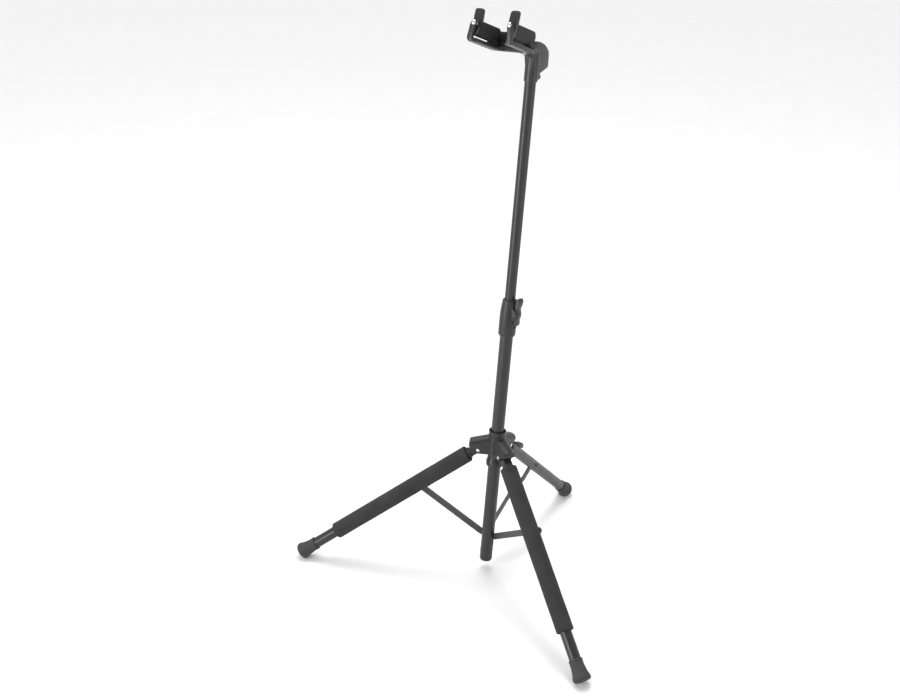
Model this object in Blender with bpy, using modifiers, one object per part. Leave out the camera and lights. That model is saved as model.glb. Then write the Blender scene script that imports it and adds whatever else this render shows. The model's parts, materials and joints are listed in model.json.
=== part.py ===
"""Hanging guitar stand: telescopic mast on a folding tripod, with a self-closing neck yoke.

Metres, +Z up, floor at z = 0. The player's side is -Y and the rear leg points to +Y. The pole leans
back by LEAN, so most pieces are drawn in the pole frame: its origin lies on the pole's axis in the
middle of the open hub, x runs sideways and z runs up the pole.
"""

import math

import bmesh
import bpy
from mathutils import Matrix, Vector

MM = 0.001
DEG = math.pi / 180.0

# Whole stand
LEAN = 5.0 * DEG
HUB_HEIGHT = 266.5 * MM
HUB_BACK = -47.95 * MM
GAP = 0.3 * MM

# Tubes
POLE_R = 12.5 * MM
POLE_BORE_R = 11.3 * MM
POLE_BOTTOM = -243.5 * MM
POLE_TOP = 285.0 * MM
MAST_R = 10.0 * MM
MAST_BORE_R = 8.8 * MM
MAST_BOTTOM = 200.0 * MM
MAST_TOP = 755.0 * MM
LEG_R = 11.0 * MM
LEG_BORE_R = 9.8 * MM

# Clutch
CLUTCH_BOTTOM = 244.5 * MM
CLUTCH_TOP = 316.5 * MM
CLUTCH_R = 16.5 * MM
LEVER_X = 18.5 * MM
LEVER_S = 291.5 * MM

# Head
COLLAR_BOTTOM = 715.6 * MM
HEAD_R = 11.8 * MM
HEAD_HALF = 10.5 * MM
YOKE_AXIS_S = 767.0 * MM
YOKE_TILT = 15.0 * DEG
YOKE_ROLL = -3.2 * DEG
STEM_R = 8.0 * MM
PIN_X = 33.2 * MM
PIN_Z = 15.6 * MM
BAR_BOTTOM_Z = -14.4 * MM
BAR_TOP_Z = -7.9 * MM
BAR_OUT = 42.0 * MM
BAR_IN = 26.0 * MM
FRONT_Y = -151.0 * MM
FRONT_BACK_Y = -146.0 * MM
PLATE_FRONT_Y = -70.5 * MM
PLATE_BACK_Y = -65.5 * MM
FINGER_FRONT_Y = -142.5 * MM
FINGER_BACK_Y = -133.7 * MM
PAD_BACK_Y = -70.9 * MM
FINGER_TOP = 25.0 * MM

# Hub, legs and struts
PIVOT_R = 34.4 * MM
PIVOT_S = 4.5 * MM
HUB_SLEEVE_R = 17.5 * MM
HUB_BOTTOM = -5.0 * MM
HUB_TOP = 45.0 * MM
ARM_BOTTOM = -3.0 * MM
ARM_SLOPE = 0.3
ARM_CROWN = 8.5 * MM
ARM_HALF = 13.5 * MM
ARM_END = 53.5 * MM
CHANNEL_HALF = 8.4 * MM
LEG_ANGLE = {"left": 51.13 * DEG, "right": 51.13 * DEG, "rear": 52.09 * DEG}
AZIMUTH = {"left": 120.0 * DEG, "right": -120.0 * DEG, "rear": 0.0}
STRUT_SIDE = {"left": 1.0, "right": -1.0, "rear": -1.0}
TUBE_START = 24.6 * MM
FOAM_START = 24.5 * MM
FOAM_END = 351.0 * MM
FOAM_R = 16.5 * MM
FOOT_LENGTH = 40.0 * MM
FOOT_R = 17.0 * MM
FOOT_FLAT = 1.2 * MM
RIVET_L = 157.2 * MM
STRUT_R0 = 13.0 * MM
STRUT_S0 = -188.6 * MM
STRUT_OFF = 8.0 * MM
STRUT_HALF_W = 6.3 * MM
STRUT_THICK = 3.0 * MM
STRUT_OUTSIDE = 18.4 * MM
RIVET_R = 2.4 * MM


# ---------------------------------------------------------------- scene and frames


def clear_file():
    for obj in list(bpy.data.objects):
        bpy.data.objects.remove(obj, do_unlink=True)
    for mesh in list(bpy.data.meshes):
        bpy.data.meshes.remove(mesh)


def make_collection(name):
    group = bpy.data.collections.new(name)
    bpy.context.scene.collection.children.link(group)
    return group


clear_file()
PARTS = make_collection("guitar_stand")
CUTTERS = make_collection("cutters")

POLE = Matrix.Translation((0.0, HUB_BACK, HUB_HEIGHT)) @ Matrix.Rotation(-LEAN, 4, "X")
YOKE = (
    POLE
    @ Matrix.Translation((0.0, 0.0, YOKE_AXIS_S))
    @ Matrix.Rotation(-YOKE_TILT, 4, "X")
    @ Matrix.Rotation(YOKE_ROLL, 4, "Y")
)
LEVER = POLE @ Matrix.Translation((LEVER_X, 0.0, LEVER_S))


def arm_frame(side):
    """Pole frame turned so +y runs out along one hub arm."""
    return POLE @ Matrix.Rotation(AZIMUTH[side], 4, "Z")


def leg_frame(side):
    """Origin on the leg's pivot, +z down the leg, -y the leg's upper side, x along the pivot pin."""
    turn = Matrix.Rotation(math.pi + LEG_ANGLE[side], 4, "X")
    return arm_frame(side) @ Matrix.Translation((0.0, PIVOT_R, PIVOT_S)) @ turn


def gate_frame(sign):
    return YOKE @ Matrix.Translation((sign * PIN_X, 0.0, PIN_Z))


def strut_line(side):
    """Upper rivet, lower end and length of a strut in its arm frame's y-z plane."""
    angle = LEG_ANGLE[side]
    top = Vector((PIVOT_R + RIVET_L * math.sin(angle), PIVOT_S - RIVET_L * math.cos(angle)))
    low = Vector((STRUT_R0, STRUT_S0))
    return top, low, (top - low).length


def strut_frame(side):
    """Origin on the strut's rivet, +z down the strut to the pole, x along the rivet."""
    top, low, _ = strut_line(side)
    down = low - top
    turn = Matrix.Rotation(math.atan2(-down.x, down.y), 4, "X")
    return arm_frame(side) @ Matrix.Translation((0.0, top.x, top.y)) @ turn


# ---------------------------------------------------------------- materials


def material(name, colour, roughness, metallic=0.0):
    mat = bpy.data.materials.new(name)
    mat.use_nodes = True
    bsdf = mat.node_tree.nodes["Principled BSDF"]
    bsdf.inputs["Base Color"].default_value = (colour[0], colour[1], colour[2], 1.0)
    bsdf.inputs["Roughness"].default_value = roughness
    bsdf.inputs["Metallic"].default_value = metallic
    return mat


def painted_steel():
    return material("painted_steel", (0.075, 0.077, 0.080), 0.38, 0.3)


def grey_steel():
    return material("grey_steel", (0.110, 0.113, 0.116), 0.45, 0.3)


def strut_steel():
    return material("strut_steel", (0.100, 0.102, 0.104), 0.5, 0.3)


def moulded_plastic():
    return material("moulded_plastic", (0.055, 0.057, 0.060), 0.5)


def cast_paint():
    return material("cast_paint", (0.062, 0.064, 0.067), 0.45)


def foam_skin():
    return material("foam_skin", (0.045, 0.047, 0.050), 0.95)


def pad_rubber():
    return material("pad_rubber", (0.040, 0.041, 0.043), 0.85)


def foot_rubber():
    return material("foot_rubber", (0.070, 0.072, 0.074), 0.8)


def bright_metal():
    return material("bright_metal", (0.80, 0.80, 0.80), 0.15, 1.0)


def dark_metal():
    return material("dark_metal", (0.04, 0.04, 0.042), 0.4, 0.6)


STEEL = painted_steel()
REAR_STEEL = grey_steel()
STRUT = strut_steel()
PLASTIC = moulded_plastic()
CAST = cast_paint()
FOAM = foam_skin()
PAD = pad_rubber()
FOOT = foot_rubber()
BRIGHT = bright_metal()
DARK = dark_metal()


# ---------------------------------------------------------------- mesh helpers


def place(name, bm, frame, mat=None):
    bmesh.ops.recalc_face_normals(bm, faces=bm.faces[:])
    mesh = bpy.data.meshes.new(name)
    bm.to_mesh(mesh)
    bm.free()
    obj = bpy.data.objects.new(name, mesh)
    obj.matrix_world = frame
    if mat is None:
        CUTTERS.objects.link(obj)
        obj.hide_render = True
        obj.display_type = "WIRE"
    else:
        PARTS.objects.link(obj)
        mesh.materials.append(mat)
    return obj


def lathe(name, profile, frame, mat=None, steps=28, phase=0.0):
    """Turn a closed (radius, height) outline about z; phase turns its facets, in steps."""
    bm = bmesh.new()
    rings = []
    for radius, height in profile:
        if radius < 1e-7:
            rings.append([bm.verts.new((0.0, 0.0, height))])
            continue
        ring = []
        for k in range(steps):
            a = 2.0 * math.pi * (k + phase) / steps
            ring.append(bm.verts.new((radius * math.cos(a), radius * math.sin(a), height)))
        rings.append(ring)
    for i, low in enumerate(rings):
        high = rings[(i + 1) % len(rings)]
        if len(low) == 1 and len(high) == 1:
            continue
        for k in range(steps):
            n = (k + 1) % steps
            if len(low) == 1:
                bm.faces.new((low[0], high[k], high[n]))
            elif len(high) == 1:
                bm.faces.new((low[k], low[n], high[0]))
            else:
                bm.faces.new((low[k], low[n], high[n], high[k]))
    return place(name, bm, frame, mat)


def prism(name, outline, start, end, axis, frame, mat=None):
    """Push a closed outline from start to end along x ("x": outline in y, z) or y ("y": x, z)."""
    bm = bmesh.new()
    sides = []
    for depth in (start, end):
        if axis == "x":
            sides.append([bm.verts.new((depth, a, b)) for a, b in outline])
        elif axis == "y":
            sides.append([bm.verts.new((a, depth, b)) for a, b in outline])
        else:
            sides.append([bm.verts.new((a, b, depth)) for a, b in outline])
    bm.faces.new(sides[0])
    bm.faces.new(sides[1])
    count = len(outline)
    for i in range(count):
        n = (i + 1) % count
        bm.faces.new((sides[0][i], sides[0][n], sides[1][n], sides[1][i]))
    return place(name, bm, frame, mat)


def box(name, low, high, frame, mat=None):
    outline = [(low[0], low[1]), (high[0], low[1]), (high[0], high[1]), (low[0], high[1])]
    return prism(name, outline, low[2], high[2], "z", frame, mat)


def rod(name, radius, start, end, frame, mat=None, steps=20):
    outline = [(0.0, start), (radius, start), (radius, end), (0.0, end)]
    return lathe(name, outline, frame, mat, steps, 0.4)


def along_x(frame, at=(0.0, 0.0, 0.0)):
    """Frame whose +z runs along the given frame's +x."""
    return frame @ Matrix.Translation(at) @ Matrix.Rotation(math.pi / 2, 4, "Y")


def along_y(frame, at=(0.0, 0.0, 0.0)):
    """Frame whose +z runs along the given frame's +y."""
    return frame @ Matrix.Translation(at) @ Matrix.Rotation(-math.pi / 2, 4, "X")


def bevel(obj, width, segments=2, angle=35.0):
    mod = obj.modifiers.new("bevel", "BEVEL")
    mod.width = width
    mod.segments = segments
    mod.limit_method = "ANGLE"
    mod.angle_limit = angle * DEG
    mod.use_clamp_overlap = True
    return obj


def boolean(obj, other, operation):
    mod = obj.modifiers.new(operation.lower(), "BOOLEAN")
    mod.operation = operation
    mod.solver = "EXACT"
    mod.object = other
    return obj


def cut(obj, *tools):
    for tool in tools:
        boolean(obj, tool, "DIFFERENCE")
    return obj


def join(obj, *others):
    for other in others:
        boolean(obj, other, "UNION")
    return obj


def arc(cx, cz, radius, start, end, count):
    points = []
    for k in range(count + 1):
        a = (start + (end - start) * k / count) * DEG
        points.append((cx + radius * math.cos(a), cz + radius * math.sin(a)))
    return points


def tube_profile(outer, inner, low, high):
    return [(inner, low), (outer, low), (outer, high), (inner, high)]


def coil(name, radius, wire, pitch, turns, frame, mat):
    """Round-wire helix about z with closed flat ends."""
    around = 6
    steps = int(turns * 14)
    bm = bmesh.new()
    rings = []
    for k in range(steps + 1):
        a = 2.0 * math.pi * turns * k / steps
        centre = Vector((radius * math.cos(a), radius * math.sin(a), pitch * turns * k / steps))
        out = Vector((math.cos(a), math.sin(a), 0.0))
        ring = []
        for j in range(around):
            b = 2.0 * math.pi * j / around
            ring.append(bm.verts.new(centre + wire * (out * math.cos(b) + Vector((0, 0, math.sin(b))))))
        rings.append(ring)
    for k in range(steps):
        for j in range(around):
            n = (j + 1) % around
            bm.faces.new((rings[k][j], rings[k][n], rings[k + 1][n], rings[k + 1][j]))
    bm.faces.new(rings[0])
    bm.faces.new(rings[-1])
    return place(name, bm, frame, mat)


def screw(name, head_r, head_h, shank_r, shank_l, frame, mat):
    """Domed screw: underside of the head at z = 0, head towards +z, cross recess in the head."""
    profile = [
        (0.0, -shank_l),
        (shank_r, -shank_l),
        (shank_r, 0.0),
        (head_r, 0.0),
        (head_r, head_h * 0.35),
        (head_r * 0.82, head_h * 0.80),
        (head_r * 0.45, head_h),
        (0.0, head_h),
    ]
    body = lathe(name, profile, frame, mat, 18)
    for k in range(2):
        turn = frame @ Matrix.Rotation(k * math.pi / 2, 4, "Z")
        w = head_r * 0.14
        slot = box(
            name + "_slot%d" % k,
            (-head_r * 0.55, -w, head_h * 0.45),
            (head_r * 0.55, w, head_h * 1.5),
            turn,
        )
        cut(body, slot)
    return body


# ---------------------------------------------------------------- pole and clutch


def make_pole():
    tube = lathe(
        "pole_tube", tube_profile(POLE_R, POLE_BORE_R, POLE_BOTTOM, POLE_TOP), POLE, STEEL, 36
    )
    for side in ("left", "right", "rear"):
        mid = STRUT_SIDE[side] * STRUT_OFF
        half = STRUT_THICK / 2 + 0.4 * MM
        slot = box(
            "strut_slot_" + side,
            (mid - half, 3.5 * MM, -212.5 * MM),
            (mid + half, 16.0 * MM, -175.0 * MM),
            arm_frame(side),
        )
        cut(tube, slot)
    end_hole = along_x(POLE, (-14.0 * MM, 0.0, -229.0 * MM))
    hole = rod("end_screw_hole", 1.5 * MM, 0.0, 10.0 * MM, end_hole)
    cut(tube, hole)

    plug = lathe(
        "pole_end_plug",
        [
            (0.0, -247.5 * MM),
            (9.5 * MM, -247.5 * MM),
            (11.6 * MM, -246.4 * MM),
            (12.3 * MM, -243.8 * MM),
            (11.0 * MM, -243.8 * MM),
            (11.0 * MM, -223.0 * MM),
            (9.0 * MM, -223.0 * MM),
            (9.0 * MM, -240.0 * MM),
            (0.0, -240.0 * MM),
        ],
        POLE,
        PLASTIC,
        24,
    )
    cut(plug, hole)

    turn = along_x(POLE, (-12.8 * MM, 0.0, -229.0 * MM)) @ Matrix.Rotation(math.pi, 4, "X")
    screw("pole_end_screw", 3.2 * MM, 1.8 * MM, 1.2 * MM, 6.0 * MM, turn, DARK)


def make_clutch():
    body = lathe(
        "clutch_body",
        [
            (0.0, CLUTCH_BOTTOM),
            (14.6 * MM, CLUTCH_BOTTOM),
            (16.2 * MM, CLUTCH_BOTTOM + 2.6 * MM),
            (CLUTCH_R, CLUTCH_BOTTOM + 6.0 * MM),
            (CLUTCH_R, 279.0 * MM),
            (16.2 * MM, 290.0 * MM),
            (15.2 * MM, 301.0 * MM),
            (14.2 * MM, 310.5 * MM),
            (13.4 * MM, 315.2 * MM),
            (12.0 * MM, CLUTCH_TOP),
            (0.0, CLUTCH_TOP),
        ],
        POLE,
        PLASTIC,
        36,
    )
    ears = prism(
        "clutch_ears",
        [
            (6.0 * MM, 277.5 * MM),
            (17.0 * MM, 279.0 * MM),
            (21.3 * MM, 286.5 * MM),
            (21.8 * MM, 292.5 * MM),
            (20.2 * MM, 298.0 * MM),
            (6.0 * MM, 306.5 * MM),
        ],
        -10.2 * MM,
        10.2 * MM,
        "y",
        POLE,
    )
    bevel(ears, 1.4 * MM, 2)
    bore = lathe(
        "clutch_bore",
        [
            (0.0, CLUTCH_BOTTOM - 5.0 * MM),
            (POLE_R + GAP, CLUTCH_BOTTOM - 5.0 * MM),
            (POLE_R + GAP, 313.0 * MM),
            (MAST_R + 0.4 * MM, 313.0 * MM),
            (MAST_R + 0.4 * MM, CLUTCH_TOP + 5.0 * MM),
            (0.0, CLUTCH_TOP + 5.0 * MM),
        ],
        POLE,
        None,
        36,
        0.4,
    )
    pocket = prism(
        "lever_pocket",
        [
            (14.3 * MM, 264.0 * MM),
            (30.0 * MM, 258.0 * MM),
            (30.0 * MM, 335.0 * MM),
            (13.6 * MM, 335.0 * MM),
            (13.9 * MM, 312.0 * MM),
            (14.3 * MM, 306.0 * MM),
        ],
        -7.4 * MM,
        7.4 * MM,
        "y",
        POLE,
    )
    low = (11.0 * MM, -3.2 * MM, 304.2 * MM)
    high = (16.0 * MM, 3.2 * MM, 312.2 * MM)
    window = box("lever_window", low, high, POLE)
    pin_hole = rod("lever_pin_hole", 1.8 * MM, -14.0 * MM, 14.0 * MM, along_y(LEVER))
    join(body, ears)
    cut(body, bore, pocket, window, pin_hole)

    lathe(
        "clutch_grip_plate",
        tube_profile(12.3 * MM, MAST_R + 0.3 * MM, 306.5 * MM, 309.1 * MM),
        POLE,
        DARK,
        28,
    )
    spring_frame = POLE @ Matrix.Translation((0.0, 0.0, 286.2 * MM))
    coil("clutch_spring", 11.5 * MM, 0.55 * MM, 5.9 * MM, 3.0, spring_frame, BRIGHT)

    pin = [
        (0.0, -11.6 * MM),
        (2.0 * MM, -11.6 * MM),
        (2.6 * MM, -10.9 * MM),
        (2.6 * MM, -10.5 * MM),
        (1.5 * MM, -10.5 * MM),
        (1.5 * MM, 10.5 * MM),
        (2.6 * MM, 10.5 * MM),
        (2.6 * MM, 10.9 * MM),
        (2.0 * MM, 11.6 * MM),
        (0.0, 11.6 * MM),
    ]
    lathe("clutch_lever_pin", pin, along_y(LEVER), DARK, 16)


def make_clutch_lever():
    """Trigger: outline in x, z about its pin."""
    outline = [
        (-1.1, 30.0),
        (3.6, 30.6),
        (6.4, 28.6),
        (7.3, 24.5),
        (6.1, 17.0),
        (3.7, 11.0),
        (3.5, 8.0),
        (4.7, 3.5),
        (5.3, -1.0),
        (5.1, -5.0),
        (3.5, -11.0),
        (3.3, -14.0),
        (3.7, -18.5),
        (3.0, -23.0),
        (1.0, -23.8),
        (-2.4, -23.4),
        (-3.4, -20.0),
        (-3.4, -8.0),
        (-3.2, 3.0),
        (-2.6, 14.6),
        (-4.4, 15.0),
        (-4.4, 18.6),
        (-2.6, 19.0),
        (-2.3, 27.5),
    ]
    points = [(a * MM, b * MM) for a, b in outline]
    lever = prism("clutch_lever", points, -6.9 * MM, 6.9 * MM, "y", LEVER, PLASTIC)
    bevel(lever, 0.9 * MM, 2, 30.0)
    for sign in (-1.0, 1.0):
        cheek = box(
            "lever_nose_cut_%d" % (2 + sign),
            (-9.0 * MM, min(sign * 2.6 * MM, sign * 9.0 * MM), 13.0 * MM),
            (-3.0 * MM, max(sign * 2.6 * MM, sign * 9.0 * MM), 20.0 * MM),
            LEVER,
        )
        cut(lever, cheek)
    cut(lever, rod("lever_bore", 1.8 * MM, -12.0 * MM, 12.0 * MM, along_y(LEVER)))


# ---------------------------------------------------------------- mast and head


def make_mast():
    lathe("mast_tube", tube_profile(MAST_R, MAST_BORE_R, MAST_BOTTOM, MAST_TOP), POLE, STEEL, 32)
    low = MAST_BOTTOM - GAP
    lathe(
        "mast_bottom_plug",
        [
            (0.0, low - 9.7 * MM),
            (10.2 * MM, low - 9.7 * MM),
            (11.0 * MM, low - 8.9 * MM),
            (11.0 * MM, low),
            (8.5 * MM, low),
            (8.5 * MM, low + 16.0 * MM),
            (7.8 * MM, low + 17.0 * MM),
            (0.0, low + 17.0 * MM),
        ],
        POLE,
        PLASTIC,
        24,
    )


def make_head():
    side = [
        (0.0, COLLAR_BOTTOM + 1.0 * MM),
        (9.0 * MM, COLLAR_BOTTOM + 1.0 * MM),
        (9.5 * MM, 729.0 * MM),
        (19.0 * MM, 731.0 * MM),
        (39.6 * MM, 738.0 * MM),
        (40.0 * MM, 742.0 * MM),
        (39.4 * MM, 761.0 * MM),
        (36.0 * MM, 767.5 * MM),
        (30.0 * MM, 773.0 * MM),
        (22.0 * MM, 778.0 * MM),
        (13.0 * MM, 781.6 * MM),
        (4.0 * MM, 783.8 * MM),
        (-4.0 * MM, 784.8 * MM),
        (-13.5 * MM, 784.8 * MM),
        (-18.5 * MM, 764.0 * MM),
        (-11.5 * MM, 757.0 * MM),
    ]
    body = prism("head_housing", side, -HEAD_HALF, HEAD_HALF, "x", POLE, CAST)
    bevel(body, 2.2 * MM, 2, 25.0)
    collar = lathe(
        "head_collar",
        [
            (0.0, COLLAR_BOTTOM),
            (HEAD_R - 1.0 * MM, COLLAR_BOTTOM),
            (HEAD_R, COLLAR_BOTTOM + 1.2 * MM),
            (HEAD_R, 764.0 * MM),
            (HEAD_R - 2.0 * MM, 768.0 * MM),
            (0.0, 768.0 * MM),
        ],
        POLE,
        None,
        32,
    )
    boss = prism(
        "head_clamp_boss",
        [
            (4.0 * MM, COLLAR_BOTTOM + 1.5 * MM),
            (20.0 * MM, COLLAR_BOTTOM + 1.5 * MM),
            (23.5 * MM, COLLAR_BOTTOM + 4.0 * MM),
            (23.5 * MM, 729.0 * MM),
            (24.5 * MM, 733.5 * MM),
            (4.0 * MM, 733.5 * MM),
        ],
        -4.8 * MM,
        4.8 * MM,
        "x",
        POLE,
    )
    bevel(boss, 1.2 * MM, 2)
    nose = along_y(YOKE, (0.0, -30.0 * MM, 0.0))
    ring = rod("head_nose", 11.3 * MM, 0.0, 26.0 * MM, nose, None, 32)
    bevel(ring, 1.2 * MM, 2)
    join(body, collar, boss, ring)
    mast_bore = rod("head_mast_bore", MAST_R + GAP, 700.0 * MM, MAST_TOP + GAP, POLE, None, 32)
    stem_bore = rod("head_stem_bore", STEM_R + GAP, -40.0 * MM, 6.0 * MM, along_y(YOKE), None, 28)
    through = rod("head_screw_bore", 2.4 * MM, 0.0, 60.0 * MM, along_y(YOKE), None, 20)
    sink = rod("head_screw_sink", 5.0 * MM, 26.0 * MM, 60.0 * MM, along_y(YOKE), None, 24)
    clamp = rod("head_clamp_bore", 1.9 * MM, 5.0 * MM, 30.0 * MM, along_y(POLE, (0.0, 0.0, 721.8 * MM)))
    cut(body, mast_bore, stem_bore, through, sink, clamp)

    screw_frame = along_y(POLE, (0.0, 23.8 * MM, 721.8 * MM))
    screw("head_set_screw", 4.9 * MM, 4.6 * MM, 1.6 * MM, 12.5 * MM, screw_frame, DARK)


# ---------------------------------------------------------------- yoke


def make_yoke():
    plate = prism(
        "yoke_frame",
        [
            (-37.0 * MM, BAR_BOTTOM_Z),
            (37.0 * MM, BAR_BOTTOM_Z),
            (34.5 * MM, 2.0 * MM),
            (31.5 * MM, 17.6 * MM),
            (-31.5 * MM, 17.6 * MM),
            (-34.5 * MM, 2.0 * MM),
        ],
        PLATE_FRONT_Y,
        PLATE_BACK_Y,
        "y",
        YOKE,
        CAST,
    )
    bevel(plate, 1.4 * MM, 2)
    for label, sign in (("left", -1.0), ("right", 1.0)):
        outline = [
            (sign * BAR_IN, FRONT_BACK_Y + 3.0 * MM),
            (sign * (BAR_IN + 5.0 * MM), FRONT_Y + 0.8 * MM),
            (sign * (BAR_OUT - 3.0 * MM), FRONT_Y + 0.8 * MM),
            (sign * BAR_OUT, FRONT_Y + 5.0 * MM),
            (sign * BAR_OUT, -74.0 * MM),
            (sign * (BAR_OUT - 2.0 * MM), -67.5 * MM),
            (sign * (BAR_OUT - 7.0 * MM), PLATE_BACK_Y - 0.6 * MM),
            (sign * 16.0 * MM, PLATE_BACK_Y - 0.6 * MM),
            (sign * 16.0 * MM, PLATE_FRONT_Y - 1.0 * MM),
            (sign * (BAR_IN - 4.0 * MM), PLATE_FRONT_Y - 3.0 * MM),
            (sign * BAR_IN, -80.0 * MM),
        ]
        bar = prism("yoke_bar_" + label, outline, BAR_BOTTOM_Z + 0.05 * MM, BAR_TOP_Z, "z", YOKE)
        bevel(bar, 1.5 * MM, 2)
        upright = [
            (31.0, -14.4),
            (36.5, -14.4),
            (40.9, -12.6),
            (42.4, -8.5),
            (40.2, 12.0),
            (38.4, 17.6),
            (35.6, 20.2),
            (33.2, 20.8),
            (30.8, 20.2),
            (28.9, 17.6),
            (28.9, 12.0),
            (31.6, 0.0),
            (31.4, -7.0),
        ]
        points = [(sign * a * MM, b * MM) for a, b in upright]
        post = prism("yoke_post_" + label, points, FRONT_Y, FRONT_BACK_Y, "y", YOKE)
        bevel(post, 1.3 * MM, 2)
        join(plate, bar, post)
    boss = lathe(
        "yoke_boss",
        [
            (0.0, 0.0),
            (14.0 * MM, 0.0),
            (13.0 * MM, 5.0 * MM),
            (11.0 * MM, 9.0 * MM),
            (10.4 * MM, 33.5 * MM),
            (STEM_R, 33.5 * MM),
            (STEM_R, 70.0 * MM),
            (7.0 * MM, 71.0 * MM),
            (0.0, 71.0 * MM),
        ],
        along_y(YOKE, (0.0, PLATE_FRONT_Y + 3.0 * MM, 0.0)),
        None,
        28,
    )
    join(plate, boss)
    for sign in (-1.0, 1.0):
        hole = rod(
            "gate_pin_hole_%d" % (2 + sign),
            2.3 * MM,
            FRONT_Y - 2.0 * MM,
            FRONT_BACK_Y + 2.0 * MM,
            along_y(YOKE, (sign * PIN_X, 0.0, PIN_Z)),
        )
        cut(plate, hole)
    cut(plate, rod("stem_thread", 2.3 * MM, -14.0 * MM, 6.0 * MM, along_y(YOKE), None, 24))

    washer_frame = along_y(YOKE, (0.0, -33.4 * MM, 0.0))
    lathe(
        "yoke_washer",
        tube_profile(11.6 * MM, STEM_R + GAP, 0.0, 2.9 * MM),
        washer_frame,
        BRIGHT,
        28,
    )
    screw_frame = along_y(YOKE, (0.0, 26.3 * MM, 0.0))
    screw("yoke_pivot_screw", 4.5 * MM, 2.6 * MM, 2.0 * MM, 34.0 * MM, screw_frame, DARK)


def make_gate_pin(label, sign):
    profile = [
        (0.0, FRONT_Y - 2.6 * MM),
        (2.0 * MM, FRONT_Y - 2.3 * MM),
        (3.4 * MM, FRONT_Y - 1.4 * MM),
        (4.1 * MM, FRONT_Y - GAP),
        (2.0 * MM, FRONT_Y - GAP),
        (2.0 * MM, -85.0 * MM),
        (1.4 * MM, -84.0 * MM),
        (0.0, -84.0 * MM),
    ]
    lathe("gate_pin_" + label, profile, along_y(gate_frame(sign)), BRIGHT, 20)
    spring_frame = along_y(gate_frame(sign), (0.0, FRONT_BACK_Y + 0.85 * MM, 0.0))
    coil("gate_spring_" + label, 3.4 * MM, 0.45 * MM, 1.05 * MM, 1.8, spring_frame, BRIGHT)


def wedge(inner, inset):
    """Wedge cross-section of a gate about its pin, set in evenly from the pad's skin."""
    points = [
        (-7.2, 4.6),
        (-7.9, 3.0),
        (-5.4, -16.6),
        (-4.0, -19.2),
        (-1.6, -19.8),
        (0.6, -18.0),
        (8.0, 2.4),
        (7.2, 4.9),
        (0.5, 5.8),
    ]
    corners = [Vector((a * MM, b * MM)) for a, b in points]
    count = len(corners)
    moved = []
    for i in range(count):
        before = (corners[i] - corners[i - 1]).normalized()
        after = (corners[(i + 1) % count] - corners[i]).normalized()
        normal_a = Vector((-before.y, before.x))
        normal_b = Vector((-after.y, after.x))
        middle = (normal_a + normal_b).normalized()
        moved.append(corners[i] + middle * inset / middle.dot(normal_a))
    return [(inner * v.x, v.y) for v in moved]


def make_gate(label, sign):
    """Rocker: finger, front flange and beam in one moulding, with a rubber pad over the beam."""
    frame = gate_frame(sign)
    inner = -sign
    flange = [
        (-7.6, 3.0),
        (-5.4, -16.6),
        (-4.0, -19.2),
        (-1.6, -19.8),
        (0.6, -18.0),
        (8.1, 1.0),
        (8.3, 20.6),
        (6.9, 23.8),
        (3.6, 25.0),
        (-5.0, 25.0),
        (-7.4, 23.8),
        (-8.2, 21.0),
    ]
    points = [(inner * a * MM, b * MM) for a, b in flange]
    body = prism("gate_" + label, points, FINGER_FRONT_Y, FINGER_BACK_Y, "y", frame, CAST)
    for vert in body.data.vertices:
        if vert.co.y < FINGER_FRONT_Y + 1e-5 and vert.co.z > 0.0:
            vert.co.y += 3.6 * MM * vert.co.z / FINGER_TOP
    bevel(body, 1.1 * MM, 2)
    front = FINGER_BACK_Y - 1.5 * MM
    back = PAD_BACK_Y - 3.0 * MM
    beam = prism("gate_beam_" + label, wedge(inner, 2.1 * MM), front, back, "y", frame)
    corner = pad_corner("gate_corner_" + label, 2.4 * MM, frame)
    cut(beam, corner)
    join(body, beam)
    bore = rod("gate_bore_" + label, 2.3 * MM, -150.0 * MM, -82.5 * MM, along_y(frame), None, 20)
    cut(body, bore)

    pad = prism("pad_" + label, wedge(inner, 0.0), FINGER_BACK_Y + GAP, PAD_BACK_Y, "y", frame, PAD)
    skirt = [(5.0 * MM, -14.0 * MM), (-7.0 * MM, -14.0 * MM)]
    skirt += arc(0.0, 0.0, 23.0 * MM, 247.0, 283.0, 6)
    skirt = [(inner * a, b) for a, b in skirt]
    join(pad, prism("pad_skirt_" + label, skirt, PAD_BACK_Y - 17.0 * MM, PAD_BACK_Y, "y", frame))
    cut(pad, pad_corner("pad_corner_" + label, 0.0, frame))
    bevel(pad, 1.0 * MM, 2, 30.0)
    front = FINGER_BACK_Y - 3.0 * MM
    back = PAD_BACK_Y - 2.6 * MM
    room = prism("pad_room_" + label, wedge(inner, 1.8 * MM), front, back, "y", frame)
    cut(room, pad_corner("room_corner_" + label, 2.1 * MM, frame))
    cut(pad, room)


def pad_corner(name, inset, frame):
    """Tool that rounds off a wedge's top rear corner."""
    radius = 13.0 * MM
    y1 = PAD_BACK_Y - inset
    z1 = 5.8 * MM - inset
    outline = [(y1 - radius, z1 + 8 * MM)]
    outline += arc(y1 - radius, z1 - radius, radius, 90.0, 0.0, 8)
    outline += [(y1 + 8 * MM, z1 - radius), (y1 + 8 * MM, z1 + 8 * MM)]
    return prism(name, outline, -20.0 * MM, 20.0 * MM, "x", frame)


# ---------------------------------------------------------------- hub


def arm_top(radius):
    return 30.0 * MM - ARM_SLOPE * radius


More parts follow.
